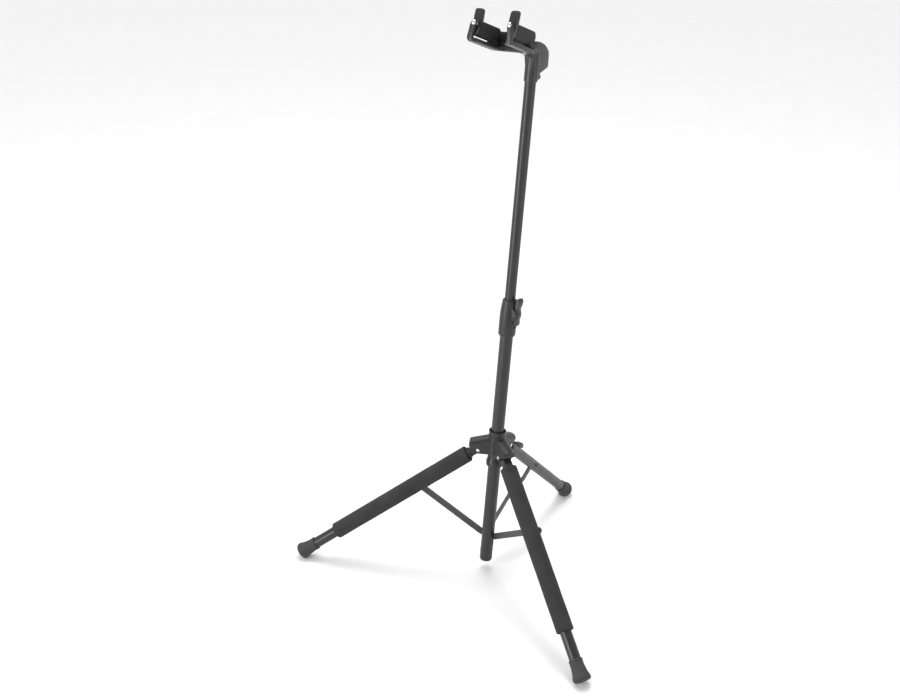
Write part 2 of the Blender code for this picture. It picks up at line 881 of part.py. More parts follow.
def hub_arm(side, frame):
    """One crowned arm: its roof falls away outwards and its cheeks end in lugs round the leg pin."""
    across = [(-1.0, 0.0), (-0.92, 0.42), (-0.72, 0.76), (-0.4, 0.95), (0.0, 1.0)]
    across += [(-a, b) for a, b in reversed(across[:-1])]
    bm = bmesh.new()
    rows = []
    for radius in (4.0 * MM, 16.0 * MM, ARM_END - 6.0 * MM, ARM_END - 1.8 * MM, ARM_END):
        narrow = 2.4 * MM if radius == ARM_END else 0.0
        crown = ARM_CROWN - narrow
        half = ARM_HALF - narrow
        low = arm_top(radius) - 1.0 * MM - narrow
        row = [bm.verts.new((-half, radius, ARM_BOTTOM)), bm.verts.new((half, radius, ARM_BOTTOM))]
        for a, b in reversed(across):
            row.append(bm.verts.new((a * half, radius, low + b * crown)))
        rows.append(row)
    count = len(rows[0])
    for low, high in zip(rows, rows[1:]):
        for k in range(count):
            n = (k + 1) % count
            bm.faces.new((low[k], low[n], high[n], high[k]))
    bm.faces.new(rows[0])
    bm.faces.new(rows[-1])
    arm = place("hub_arm_" + side, bm, frame)
    under = prism(
        "arm_under_" + side,
        [
            (30.0 * MM, -12.0 * MM),
            (34.8 * MM, ARM_BOTTOM - 0.6 * MM),
            (39.2 * MM, -1.0 * MM),
            (41.0 * MM, 5.5 * MM),
            (46.0 * MM, 8.8 * MM),
            (60.0 * MM, 12.4 * MM),
            (70.0 * MM, -12.0 * MM),
        ],
        -20.0 * MM,
        20.0 * MM,
        "x",
        frame,
    )
    cut(arm, under)
    return arm


def make_hub():
    body = lathe(
        "hub_body",
        [
            (0.0, HUB_BOTTOM),
            (HUB_SLEEVE_R, HUB_BOTTOM),
            (HUB_SLEEVE_R, HUB_TOP - 11.0 * MM),
            (16.6 * MM, HUB_TOP - 9.8 * MM),
            (16.8 * MM, HUB_TOP - 2.0 * MM),
            (17.3 * MM, HUB_TOP - 1.4 * MM),
            (17.0 * MM, HUB_TOP),
            (0.0, HUB_TOP),
        ],
        POLE,
        PLASTIC,
        36,
    )
    for side in ("left", "right", "rear"):
        join(body, hub_arm(side, arm_frame(side)))
    for side in ("left", "right", "rear"):
        frame = arm_frame(side)
        channel = prism(
            "hub_channel_" + side,
            [
                (21.0 * MM, -30.0 * MM),
                (70.0 * MM, -30.0 * MM),
                (70.0 * MM, 7.0 * MM),
                (46.0 * MM, 9.4 * MM),
                (42.0 * MM, 12.6 * MM),
                (24.0 * MM, 13.4 * MM),
                (21.0 * MM, 11.0 * MM),
            ],
            -CHANNEL_HALF,
            CHANNEL_HALF,
            "x",
            frame,
        )
        pivot = along_x(frame, (0.0, PIVOT_R, PIVOT_S))
        pin_hole = rod("leg_pin_hole_" + side, 2.3 * MM, -16 * MM, 16 * MM, pivot, None, 20)
        cut(body, channel, pin_hole)
    cut(body, rod("hub_bore", POLE_R + GAP, -60.0 * MM, 60.0 * MM, POLE, None, 36))
    dish = lathe(
        "hub_dish",
        [
            (0.0, HUB_TOP - 8.0 * MM),
            (14.2 * MM, HUB_TOP - 8.0 * MM),
            (15.4 * MM, HUB_TOP + 6.0 * MM),
            (0.0, HUB_TOP + 6.0 * MM),
        ],
        POLE,
    )
    cut(body, dish)

    bushing = lathe(
        "hub_bushing",
        [
            (POLE_R + GAP, -31.5 * MM),
            (15.2 * MM, -31.5 * MM),
            (17.0 * MM, -29.5 * MM),
            (17.2 * MM, -19.0 * MM),
            (15.4 * MM, -16.0 * MM),
            (15.0 * MM, HUB_BOTTOM - GAP),
            (POLE_R + GAP, HUB_BOTTOM - GAP),
        ],
        POLE,
        PLASTIC,
        28,
    )
    face = POLE @ Matrix.Rotation(150.0 * DEG, 4, "Z")
    cut(bushing, rod("hub_screw_hole", 1.6 * MM, 0.0, 30.0 * MM, along_x(face, (0.0, 0.0, -24.0 * MM))))
    seat = along_x(face, (17.3 * MM, 0.0, -24.0 * MM))
    screw("hub_lock_screw", 3.0 * MM, 1.7 * MM, 1.25 * MM, 3.0 * MM, seat, DARK)

    pin = [
        (0.0, -15.3 * MM),
        (2.0 * MM, -15.3 * MM),
        (3.1 * MM, -14.6 * MM),
        (3.1 * MM, -13.8 * MM),
        (2.0 * MM, -13.8 * MM),
        (2.0 * MM, 13.8 * MM),
        (3.1 * MM, 13.8 * MM),
        (3.1 * MM, 14.6 * MM),
        (2.0 * MM, 15.3 * MM),
        (0.0, 15.3 * MM),
    ]
    for side in ("left", "right", "rear"):
        pivot = along_x(arm_frame(side), (0.0, PIVOT_R, PIVOT_S))
        lathe("leg_pin_" + side, pin, pivot, BRIGHT, 16)


# ---------------------------------------------------------------- legs


def foot_drop(side):
    """How far the foot's rounded rim hangs below the centre of its sole, straight down."""
    down = (leg_frame(side).to_3x3() @ Vector((0.0, 0.0, 1.0))).z
    flat = math.sqrt(1.0 - down * down)
    rim = 4.5 * MM
    return (FOOT_R - rim) * flat + rim + rim * down


def leg_length(side):
    """Pivot to sole, so that every foot presses the same small flat on the floor."""
    frame = leg_frame(side)
    down = (frame.to_3x3() @ Vector((0.0, 0.0, 1.0))).z
    start = frame.translation.z
    return (start + FOOT_FLAT - foot_drop(side)) / -down


def make_leg(side):
    frame = leg_frame(side)
    length = leg_length(side)
    steel = REAR_STEEL if side == "rear" else STEEL
    outer = STRUT_SIDE[side]

    tube_end = length - 7.0 * MM
    tube = lathe(
        "leg_tube_" + side, tube_profile(LEG_R, LEG_BORE_R, TUBE_START, tube_end), frame, steel, 28
    )
    rivet_at = (0.0, 0.0, RIVET_L)
    if side == "rear":
        across = along_x(frame, rivet_at)
        hole = rod("rivet_hole_" + side, 2.7 * MM, -15 * MM, 15 * MM, across, None, 24)
        low = (-1.9 * MM, 0.0, 139.0 * MM)
        high = (1.9 * MM, 20.0 * MM, 184.0 * MM)
        slot = box("strut_exit_rear", low, high, frame)
        cut(tube, hole, slot)
        profile = [
            (0.0, -13.4 * MM),
            (2.6 * MM, -13.1 * MM),
            (4.0 * MM, -12.0 * MM),
            (4.0 * MM, -11.3 * MM),
            (RIVET_R, -11.3 * MM),
            (RIVET_R, 11.3 * MM),
            (4.0 * MM, 11.3 * MM),
            (4.0 * MM, 12.0 * MM),
            (2.6 * MM, 13.1 * MM),
            (0.0, 13.4 * MM),
        ]
        lathe("strut_rivet_" + side, profile, along_x(frame, rivet_at), DARK, 18)
    else:
        turn = along_x(frame, rivet_at)
        if outer < 0.0:
            turn = turn @ Matrix.Rotation(math.pi, 4, "X")
        hole = rod("rivet_hole_" + side, 2.7 * MM, 3.0 * MM, 24.0 * MM, turn, None, 24)
        cut(tube, hole)
        face = STRUT_OUTSIDE + STRUT_THICK / 2 + GAP
        profile = [
            (0.0, 6.6 * MM),
            (3.4 * MM, 6.6 * MM),
            (3.6 * MM, 8.9 * MM),
            (RIVET_R, 9.0 * MM),
            (RIVET_R, face),
            (4.4 * MM, face),
            (4.4 * MM, face + 1.2 * MM),
            (3.0 * MM, face + 2.6 * MM),
            (0.0, face + 3.0 * MM),
        ]
        lathe("strut_rivet_" + side, profile, turn, DARK, 18)
        foam = lathe(
            "foam_" + side,
            [
                (LEG_R + GAP, FOAM_START + 0.8 * MM),
                (LEG_R + 1.2 * MM, FOAM_START),
                (FOAM_R - 2.4 * MM, FOAM_START),
                (FOAM_R - 0.7 * MM, FOAM_START + 0.8 * MM),
                (FOAM_R, FOAM_START + 2.6 * MM),
                (FOAM_R, FOAM_END - 2.6 * MM),
                (FOAM_R - 0.7 * MM, FOAM_END - 0.8 * MM),
                (FOAM_R - 2.4 * MM, FOAM_END),
                (LEG_R + 1.2 * MM, FOAM_END),
                (LEG_R + GAP, FOAM_END - 0.8 * MM),
            ],
            frame,
            FOAM,
            30,
        )
        cut(foam, rod("foam_hole_" + side, 2.8 * MM, 3.0 * MM, 24.0 * MM, turn, None, 24))

    make_leg_plug(side, frame)
    make_foot(side, frame, length)


def make_leg_plug(side, frame):
    """Moulded leg top: ribbed tongue on the hub pin and a spigot in the tube."""
    half = 7.5 * MM
    outline = arc(0.0, 0.0, half, 180.0, 360.0, 10) + [(half, 21.0 * MM), (-half, 21.0 * MM)]
    tongue = prism("leg_plug_" + side, outline, -8.0 * MM, 8.0 * MM, "x", frame, PLASTIC)
    bevel(tongue, 1.0 * MM, 2)
    spigot = lathe(
        "plug_spigot_" + side,
        [
            (0.0, 19.6 * MM),
            (10.6 * MM, 19.6 * MM),
            (10.6 * MM, TUBE_START - GAP),
            (LEG_BORE_R - GAP, TUBE_START - GAP),
            (LEG_BORE_R - GAP, 44.0 * MM),
            (0.0, 44.0 * MM),
        ],
        frame,
        None,
        24,
        0.4,
    )
    join(tongue, spigot)
    if side == "rear":
        ear = prism(
            "plug_ear_rear",
            [
                (-4.0 * MM, 12.0 * MM),
                (-11.4 * MM, 23.4 * MM),
                (-11.4 * MM, 74.0 * MM),
                (-14.0 * MM, 74.0 * MM),
                (-18.0 * MM, 72.4 * MM),
                (-20.6 * MM, 68.6 * MM),
                (-20.6 * MM, 61.8 * MM),
                (-18.2 * MM, 57.8 * MM),
                (-15.0 * MM, 55.6 * MM),
                (-14.2 * MM, 50.0 * MM),
                (-14.2 * MM, 30.0 * MM),
                (-9.0 * MM, 12.0 * MM),
            ],
            -6.2 * MM,
            6.2 * MM,
            "x",
            frame,
        )
        bevel(ear, 1.3 * MM, 2)
        join(tongue, ear)
    for k, x in enumerate((-3.2 * MM, 3.2 * MM)):
        low = (x - 1.1 * MM, -12.0 * MM, 4.0 * MM)
        high = (x + 1.1 * MM, -6.0 * MM, 18.0 * MM)
        if side != "rear":
            cut(tongue, box("plug_groove_%s_%d" % (side, k), low, high, frame))
    cut(tongue, rod("plug_bore_" + side, 2.3 * MM, -12 * MM, 12 * MM, along_x(frame), None, 18))


def make_foot(side, frame, length):
    """Flared rubber foot with a rounded rim and a small flat where it meets the floor."""
    top = length - FOOT_LENGTH
    profile = [
        (LEG_R + GAP, top),
        (12.4 * MM, top),
        (13.1 * MM, top + 1.0 * MM),
        (13.1 * MM, top + 3.4 * MM),
        (12.6 * MM, top + 4.4 * MM),
        (12.9 * MM, top + 14.0 * MM),
        (14.4 * MM, top + 25.0 * MM),
        (FOOT_R - 0.1 * MM, length - 7.0 * MM),
    ]
    profile += arc(FOOT_R - 4.5 * MM, length - 4.5 * MM, 4.5 * MM, 0.0, 90.0, 3)
    profile += [
        (8.5 * MM, length),
        (7.5 * MM, length - 0.9 * MM),
        (0.0, length - 0.9 * MM),
        (0.0, length - 6.5 * MM),
        (LEG_R + GAP, length - 6.5 * MM),
    ]
    foot = lathe("foot_" + side, profile, frame, FOOT, 30)
    where = frame @ Vector((0.0, 0.0, length))
    floor = box(
        "floor_" + side,
        (where.x - 60 * MM, where.y - 60 * MM, -60 * MM),
        (where.x + 60 * MM, where.y + 60 * MM, 0.0),
        Matrix.Identity(4),
    )
    cut(foot, floor)


# ---------------------------------------------------------------- struts


def make_strut(side):
    """Flat bar on edge, stepped sideways so one end clears the leg and the other the mast."""
    frame = strut_frame(side)
    _, _, length = strut_line(side)
    sign = STRUT_SIDE[side]
    upper = sign * STRUT_OUTSIDE if side != "rear" else 0.0
    lower = sign * STRUT_OFF
    bend_start = 10.0 * MM if side != "rear" else 39.0 * MM
    bend_end = length - 8.0 * MM if side != "rear" else 58.0 * MM
    stations = []
    for y, z in arc(0.0, 0.0, STRUT_HALF_W, 0.0, -90.0, 5):
        stations.append((z, y))
    stations.reverse()
    for k in range(9):
        stations.append((bend_start + (bend_end - bend_start) * k / 8.0, STRUT_HALF_W))
    for y, z in arc(0.0, length, STRUT_HALF_W, 0.0, 90.0, 5):
        stations.append((z, y))

    bm = bmesh.new()
    rows = []
    for z, half in stations:
        t = min(max((z - bend_start) / (bend_end - bend_start), 0.0), 1.0)
        eased = t if side != "rear" else 3.0 * t * t - 2.0 * t * t * t
        mid = upper + (lower - upper) * eased
        half = max(half, 0.4 * MM)
        row = []
        for x, y in ((-1.0, -1.0), (1.0, -1.0), (1.0, 1.0), (-1.0, 1.0)):
            row.append(bm.verts.new((mid + x * STRUT_THICK / 2, y * half, z)))
        rows.append(row)
    for low, high in zip(rows, rows[1:]):
        for j in range(4):
            n = (j + 1) % 4
            bm.faces.new((low[j], low[n], high[n], high[j]))
    bm.faces.new(rows[0])
    bm.faces.new(rows[-1])
    strut = place("strut_" + side, bm, frame, STRUT)
    cut(strut, rod("strut_eye_" + side, 2.7 * MM, -24 * MM, 24 * MM, along_x(frame), None, 18))


# ---------------------------------------------------------------- build


make_pole()
make_clutch()
make_clutch_lever()
make_mast()
make_head()
make_yoke()
for label, sign in (("left", -1.0), ("right", 1.0)):
    make_gate_pin(label, sign)
    make_gate(label, sign)
make_hub()
for name in ("left", "right", "rear"):
    make_leg(name)
    make_strut(name)
bpy.context.view_layer.update()
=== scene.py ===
"""Looks for the hanging guitar stand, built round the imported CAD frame.

Hard parts are the CAD nodes themselves with procedural finishes. The foam sleeves, the rubber feet and
the neck pads are soft, so each is a new piece that stands for its CAD solid.
"""

import json
import math
import bmesh
import bpy
from mathutils import Matrix, Vector, noise


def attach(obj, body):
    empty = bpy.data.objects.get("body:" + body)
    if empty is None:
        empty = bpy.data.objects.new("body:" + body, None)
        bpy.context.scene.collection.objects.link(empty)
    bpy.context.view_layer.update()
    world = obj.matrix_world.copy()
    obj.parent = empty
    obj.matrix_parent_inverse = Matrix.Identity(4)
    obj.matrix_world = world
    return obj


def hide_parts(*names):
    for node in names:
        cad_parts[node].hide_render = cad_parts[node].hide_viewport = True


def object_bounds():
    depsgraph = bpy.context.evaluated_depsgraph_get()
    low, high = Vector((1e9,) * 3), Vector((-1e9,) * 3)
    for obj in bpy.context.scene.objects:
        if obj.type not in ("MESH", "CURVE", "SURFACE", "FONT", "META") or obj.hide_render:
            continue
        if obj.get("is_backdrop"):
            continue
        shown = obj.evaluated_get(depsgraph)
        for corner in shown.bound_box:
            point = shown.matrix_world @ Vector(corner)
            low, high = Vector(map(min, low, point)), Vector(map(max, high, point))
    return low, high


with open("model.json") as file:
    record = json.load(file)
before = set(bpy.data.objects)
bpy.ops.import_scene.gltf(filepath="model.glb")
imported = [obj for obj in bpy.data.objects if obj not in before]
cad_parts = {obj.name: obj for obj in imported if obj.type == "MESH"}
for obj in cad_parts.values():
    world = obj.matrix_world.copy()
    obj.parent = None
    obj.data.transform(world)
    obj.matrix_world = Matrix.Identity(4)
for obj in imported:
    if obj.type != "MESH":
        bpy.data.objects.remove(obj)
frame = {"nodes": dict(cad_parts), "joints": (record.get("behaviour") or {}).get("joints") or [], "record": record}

NODES = frame["nodes"]
JOINTS = {joint["name"]: joint for joint in frame["joints"]}
SLOT_OF = {part["node"]: part["material_slot"] for part in frame["record"]["subparts"]}
CAD_LOW, CAD_HIGH = (list(corner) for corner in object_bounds())
MM = 0.001
WHITE = (1.0, 1.0, 1.0, 1.0)
WELD = 0.005 * MM
SHARP_ANGLE = math.radians(32.0)

FOAM_RIM = 2.6 * MM
FOAM_RINGS = 90
FOAM_STEPS = 72
FOAM_SEED = {"left": 3.1, "right": 8.7}
FOOT_VOXEL = 0.8 * MM
PAD_VOXEL = 0.7 * MM

FLOOR_RINGS = (0.5, 1.5, 4.0, 14.0)
FLOOR_STEPS = 64
FLOOR_DROP = 0.2 * MM

# The surround fades from bright at the horizon to dimmer overhead: heights, then strengths.
SURROUND_FADE = (0.10, 0.55, 0.90, 0.52)
# Each softbox: name, place, aim, size, watts.
SOFTBOXES = (
    ("key", (-0.95, -2.5, 0.9), (0.0, 0.0, 0.55), (0.40, 1.8), 38.0),
    ("rim", (2.3, 0.3, 0.9), (0.0, 0.0, 0.4), (0.35, 1.7), 9.0),
    ("top", (-0.4, 0.8, 3.6), (0.0, 0.0, 0.5), (0.9, 0.9), 34.0),
)
SKY_DIRECTION = (0.35, -0.15, -1.0)
SKY_STRENGTH = 1.45
SKY_SPREAD = math.radians(55.0)

CAMERA_YAW = math.radians(33.68)
CAMERA_PITCH = math.radians(26.47)
CAMERA_ROLL = math.radians(1.25)
CAMERA_PLACE = (0.9990, -1.7165, 1.4521)
CAMERA_LENS = 46.28


# ---------------------------------------------------------------- node helpers


class Look:
    """A Principled material and short calls for the procedural detail on it."""

    def __init__(self, name, roughness, metallic=0.0, specular=0.5):
        self.material = bpy.data.materials.new(name)
        self.material.use_nodes = True
        self.tree = self.material.node_tree
        self.bsdf = self.tree.nodes["Principled BSDF"]
        self.bsdf.inputs["Roughness"].default_value = roughness
        self.bsdf.inputs["Metallic"].default_value = metallic
        self.bsdf.inputs["Specular IOR Level"].default_value = specular
        self.place = self.tree.nodes.new("ShaderNodeTexCoord").outputs["Object"]
        self.normal = None

    def link(self, output, target):
        self.tree.links.new(output, target)

    def stretched(self, scale, turn=(0.0, 0.0, 0.0)):
        """Coordinates turned, then scaled, so that grain can run along a tube."""
        mapping = self.tree.nodes.new("ShaderNodeMapping")
        mapping.vector_type = "TEXTURE"
        mapping.inputs["Rotation"].default_value = turn
        mapping.inputs["Scale"].default_value = [1.0 / s for s in scale]
        self.link(self.place, mapping.inputs["Vector"])
        return mapping.outputs["Vector"]

    def noise(self, scale, detail=3.0, roughness=0.5, at=None):
        node = self.tree.nodes.new("ShaderNodeTexNoise")
        node.inputs["Scale"].default_value = scale
        node.inputs["Detail"].default_value = detail
        node.inputs["Roughness"].default_value = roughness
        self.link(at or self.place, node.inputs["Vector"])
        return node.outputs["Fac"]

    def cells(self, scale, feature="F1"):
        node = self.tree.nodes.new("ShaderNodeTexVoronoi")
        node.feature = feature
        node.inputs["Scale"].default_value = scale
        self.link(self.place, node.inputs["Vector"])
        return node.outputs["Distance"]

    def span(self, value, low, high, to_low, to_high):
        """value mapped from low..high to to_low..to_high, clamped."""
        node = self.tree.nodes.new("ShaderNodeMapRange")
        for socket, number in zip(node.inputs[1:5], (low, high, to_low, to_high)):
            socket.default_value = number
        self.link(value, node.inputs[0])
        return node.outputs[0]

    def maths(self, operation, a, b):
        node = self.tree.nodes.new("ShaderNodeMath")
        node.operation = operation
        for socket, value in zip(node.inputs, (a, b)):
            if isinstance(value, (int, float)):
                socket.default_value = value
            else:
                self.link(value, socket)
        return node.outputs[0]

    def ramp(self, value, *stops):
        """Colours at places along value; a stop is (place, grey or colour)."""
        node = self.tree.nodes.new("ShaderNodeValToRGB")
        points = node.color_ramp.elements
        while len(points) < len(stops):
            points.new(0.5)
        for point, (where, colour) in zip(points, stops):
            point.position = where
            point.color = rgba(colour)
        self.link(value, node.inputs["Fac"])
        return node.outputs["Color"]

    def mix(self, share, a, b):
        node = self.tree.nodes.new("ShaderNodeMix")
        node.data_type = "RGBA"
        self.link(share, node.inputs["Factor"])
        for socket, value in ((node.inputs[6], a), (node.inputs[7], b)):
            if hasattr(value, "is_linked"):
                self.link(value, socket)
            else:
                socket.default_value = rgba(value)
        return node.outputs[2]

    def colour(self, output):
        self.link(output, self.bsdf.inputs["Base Color"])

    def roughness(self, output):
        self.link(output, self.bsdf.inputs["Roughness"])

    def bump(self, height, strength, distance):
        node = self.tree.nodes.new("ShaderNodeBump")
        node.inputs["Strength"].default_value = strength
        node.inputs["Distance"].default_value = distance
        self.link(height, node.inputs["Height"])
        if self.normal is not None:
            self.link(self.normal, node.inputs["Normal"])
        self.normal = node.outputs["Normal"]
        self.link(self.normal, self.bsdf.inputs["Normal"])

    def edge_wear_and_sheen(self, width, low=0.55, high=0.75):
        """A mask that is 1 on outside edges, broken up by noise."""
        geometry = self.tree.nodes.new("ShaderNodeNewGeometry")
        edge = self.span(geometry.outputs["Pointiness"], 0.52, 0.60, 0.0, 1.0)
        spots = self.span(self.noise(1.0 / width, 4.0, 0.6), low, high, 0.0, 1.0)
        return self.maths("MULTIPLY", edge, spots)


def rgba(colour):
    if isinstance(colour, (int, float)):
        return (colour, colour, colour, 1.0)
    return (*colour, 1.0)


def tinted(grey, warm=0.0):
    """A near-neutral grey, a touch cool unless warm is raised."""
    return (grey * (1.0 + warm), grey, grey * (1.03 - warm))


# ---------------------------------------------------------------- finishes


def powder_coat(name, grey, roughness, lean=0.0):
    """Satin coat: orange peel, faint mottling, and hairline rubbing along the tube."""
    look = Look(name, roughness, specular=0.44)
    mottle = look.noise(38.0, 4.0, 0.55)
    hair = look.noise(1.0, 3.0, 0.6, at=look.stretched((900.0, 900.0, 9.0), (-lean, 0.0, 0.0)))
    rubbed = look.span(hair, 0.60, 0.78, 0.0, 1.0)
    base = look.ramp(mottle, (0.30, tinted(grey * 0.84)), (0.70, tinted(grey * 1.18)))
    look.colour(look.mix(look.maths("MULTIPLY", rubbed, 0.45), base, tinted(grey * 2.2)))
    patchy = look.span(mottle, 0.3, 0.7, roughness - 0.05, roughness + 0.07)
    look.roughness(look.maths("SUBTRACT", patchy, look.maths("MULTIPLY", rubbed, 0.10)))
    look.bump(look.noise(850.0, 2.0, 0.5), 0.35, 0.09 * MM)
    look.bump(look.noise(240.0, 2.0, 0.5), 0.25, 0.16 * MM)
    return look.material


def moulded_plastic(name, grey, roughness):
    """Spark-eroded grain, greasy patches, and outside edges painted lighter as a painted highlight for the shine
    of polished edges.
    """
    look = Look(name, roughness, specular=0.38)
    grain = look.noise(1500.0, 3.0, 0.65)
    patch = look.noise(60.0, 4.0, 0.6)
    base = look.ramp(patch, (0.32, tinted(grey * 0.80)), (0.68, tinted(grey * 1.22)))
    # painted highlight: outside edges are painted lighter to stand in for the shine of polished edges
    edge = look.edge_wear_and_sheen(2.0 * MM, 0.35, 0.60)
    look.colour(look.mix(look.maths("MULTIPLY", edge, 0.5), base, tinted(grey * 2.1)))
    look.roughness(look.span(patch, 0.3, 0.7, roughness - 0.06, roughness + 0.08))
    look.bump(grain, 0.45, 0.10 * MM)
    look.bump(look.noise(420.0, 2.0, 0.5), 0.15, 0.12 * MM)
    return look.material


def cast_paint(name, grey, roughness):
    """Thick textured paint over a casting, thin and chipped on the arrises."""
    look = Look(name, roughness)
    pebble = look.cells(620.0, "SMOOTH_F1")
    patch = look.noise(90.0, 4.0, 0.6)
    base = look.ramp(patch, (0.30, tinted(grey * 0.80)), (0.70, tinted(grey * 1.20)))
    edge = look.edge_wear_and_sheen(1.5 * MM, 0.50, 0.62)
    chips = look.span(look.noise(700.0, 3.0, 0.6), 0.66, 0.70, 0.0, 1.0)
    base = look.mix(look.maths("MULTIPLY", chips, 0.25), base, tinted(grey * 1.9))
    look.colour(look.mix(look.maths("MULTIPLY", edge, 0.75), base, tinted(grey * 3.4)))
    look.roughness(look.span(pebble, 0.1, 0.7, roughness + 0.08, roughness - 0.06))
    look.bump(pebble, 0.45, 0.18 * MM)
    look.bump(look.noise(1500.0, 2.0, 0.5), 0.35, 0.08 * MM)
    return look.material


def closed_cell_foam(name, grey):
    """Matt foam: skin of fine closed cells, painted shade in the cell pits and in the hollows of the coarse
    relief, pale scuffs.
    """
    look = Look(name, 0.95, specular=0.08)
    cells = look.cells(950.0)
    coarse = look.noise(210.0, 5.0, 0.72)
    cloud = look.noise(26.0, 5.0, 0.6)
    base = look.ramp(cloud, (0.30, tinted(grey * 0.82)), (0.70, tinted(grey * 1.20)))
    pores = look.span(cells, 0.0, 0.55, 0.0, 1.0)
    # painted shade: the coarse relief is painted lighter on its raised parts, so its hollows read darker
    base = look.mix(look.span(coarse, 0.45, 0.75, 0.0, 0.35), base, tinted(grey * 1.35))
    # painted shade: the bottoms of the cell pits are darkened
    base = look.mix(look.span(pores, 0.0, 0.45, 0.60, 0.0), base, tinted(grey * 0.45))
    scuff = look.maths(
        "MULTIPLY",
        look.span(look.noise(14.0, 2.0, 0.5), 0.62, 0.70, 0.0, 1.0),
        look.span(look.noise(330.0, 5.0, 0.75), 0.50, 0.68, 0.0, 1.0),
    )
    look.colour(look.mix(look.maths("MULTIPLY", scuff, 0.6), base, tinted(grey * 2.3, 0.02)))
    look.roughness(look.span(coarse, 0.3, 0.7, 0.88, 1.0))
    look.bsdf.inputs["Sheen Weight"].default_value = 0.03
    look.bsdf.inputs["Sheen Roughness"].default_value = 0.6
    look.bump(pores, 0.7, 0.30 * MM)
    look.bump(coarse, 0.6, 0.70 * MM)
    return look.material


def rubber(name, grey, roughness, dust=0.0):
    """Moulded rubber with a fine tooth; dust greys its lowest part where it stands on the floor."""
    look = Look(name, roughness, specular=0.35)
    tooth = look.noise(1000.0, 4.0, 0.65)
    patch = look.noise(110.0, 5.0, 0.6)
    base = look.ramp(patch, (0.30, tinted(grey * 0.78)), (0.70, tinted(grey * 1.24)))
    if dust > 0.0:
        split = look.tree.nodes.new("ShaderNodeSeparateXYZ")
        look.link(look.place, split.inputs[0])
        low = look.span(split.outputs["Z"], 0.001, 0.016, 1.0, 0.0)
        speckle = look.span(look.noise(500.0, 5.0, 0.7), 0.42, 0.66, 0.0, 1.0)
        dusty = look.maths("MULTIPLY", look.maths("MULTIPLY", low, speckle), dust)
        base = look.mix(dusty, base, tinted(0.30, 0.03))
    look.colour(base)
    look.roughness(look.span(patch, 0.3, 0.7, roughness - 0.06, roughness + 0.08))
    look.bump(tooth, 0.55, 0.20 * MM)
    look.bump(look.noise(260.0, 4.0, 0.6), 0.30, 0.30 * MM)
    return look.material


def plated(name, grey, roughness):
    """Bright plating with fingermarks and fine swirl scratches."""
    look = Look(name, roughness, metallic=1.0)
    marks = look.noise(320.0, 4.0, 0.65)
    fine = look.noise(1.0, 2.0, 0.6, at=look.stretched((4000.0, 500.0, 900.0)))
    look.colour(look.ramp(marks, (0.25, grey * 0.86), (0.75, grey)))
    look.roughness(look.span(marks, 0.35, 0.70, roughness * 0.7, roughness * 1.8))
    look.bump(fine, 0.12, 0.02 * MM)
    return look.material


def black_oxide(name, grey, roughness):
    """Blackened steel, worn brighter on its edges."""
    look = Look(name, roughness, metallic=0.7)
    marks = look.noise(600.0, 4.0, 0.65)
    edge = look.edge_wear_and_sheen(0.8 * MM, 0.35, 0.6)
    base = look.ramp(marks, (0.3, tinted(grey * 0.8)), (0.7, tinted(grey * 1.25, 0.03)))
    look.colour(look.mix(edge, base, tinted(grey * 5.0)))
    look.roughness(look.span(marks, 0.3, 0.7, roughness - 0.08, roughness + 0.12))
    look.bump(look.noise(2400.0, 2.0, 0.5), 0.2, 0.03 * MM)
    return look.material


LEAN = math.atan2(JOINTS["hub_slide"]["axis"][1], JOINTS["hub_slide"]["axis"][2])
FINISH = {
    "painted_steel": powder_coat("painted_steel_look", 0.018, 0.36, LEAN),
    "grey_steel": powder_coat("grey_steel_look", 0.042, 0.42),
    "strut_steel": powder_coat("strut_steel_look", 0.042, 0.44),
    "moulded_plastic": moulded_plastic("moulded_plastic_look", 0.019, 0.36),
    "cast_paint": cast_paint("cast_paint_look", 0.015, 0.38),
    "foam": closed_cell_foam("foam_look", 0.036),
    "pad_rubber": rubber("pad_rubber_look", 0.020, 0.66),
    "foot_rubber": rubber("foot_rubber_look", 0.038, 0.70, 0.5),
    "bright_metal": plated("bright_metal_look", 0.72, 0.28),
    "dark_metal": black_oxide("dark_metal_look", 0.020, 0.40),
}


def wear(obj, slot):
    """The finish of a material slot as the object's only material."""
    obj.data.materials.clear()
    obj.data.materials.append(FINISH[slot])


def soften(node):
    """Round shading on a CAD node: its split normals go, and sharp corners stay sharp."""
    mesh = node.data
    if mesh.has_custom_normals:
        mesh.attributes.remove(mesh.attributes["custom_normal"])
    mesh.polygons.foreach_set("use_smooth", [True] * len(mesh.polygons))
    weld = node.modifiers.new("weld", "WELD")
    weld.merge_threshold = WELD
    split = node.modifiers.new("corners", "EDGE_SPLIT")
    split.split_angle = SHARP_ANGLE


for name, node in NODES.items():
    wear(node, SLOT_OF[name])
    soften(node)


# ---------------------------------------------------------------- soft pieces


def piece(name, bm, slot, body, *stands_for):
    """A finished mesh as a piece of the stand, on its body and in place of its CAD node."""
    bmesh.ops.recalc_face_normals(bm, faces=bm.faces[:])
    mesh = bpy.data.meshes.new(name)
    bm.to_mesh(mesh)
    bm.free()
    mesh.polygons.foreach_set("use_smooth", [True] * len(mesh.polygons))
    obj = bpy.data.objects.new(name, mesh)
    bpy.context.scene.collection.objects.link(obj)
    wear(obj, slot)
    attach(obj, body)
    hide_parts(*stands_for)
    return obj


def leg_axis(side):
    """The leg's pivot and the direction down it, from the leg and strut hinges."""
    top = Vector(JOINTS["leg_%s_hinge" % side]["pos_m"])
    rivet = Vector(JOINTS["strut_%s_hinge" % side]["pos_m"])
    return top, (rivet - top).normalized()


def extent(node, origin, direction):
    """Nearest and farthest reach of a node's mesh along a line, and its inner and outer radius."""
    along, out = [], []
    for vertex in NODES[node].data.vertices:
        arm = vertex.co - origin
        t = arm.dot(direction)
        along.append(t)
        out.append((arm - direction * t).length)
    return min(along), max(along), min(out), max(out)


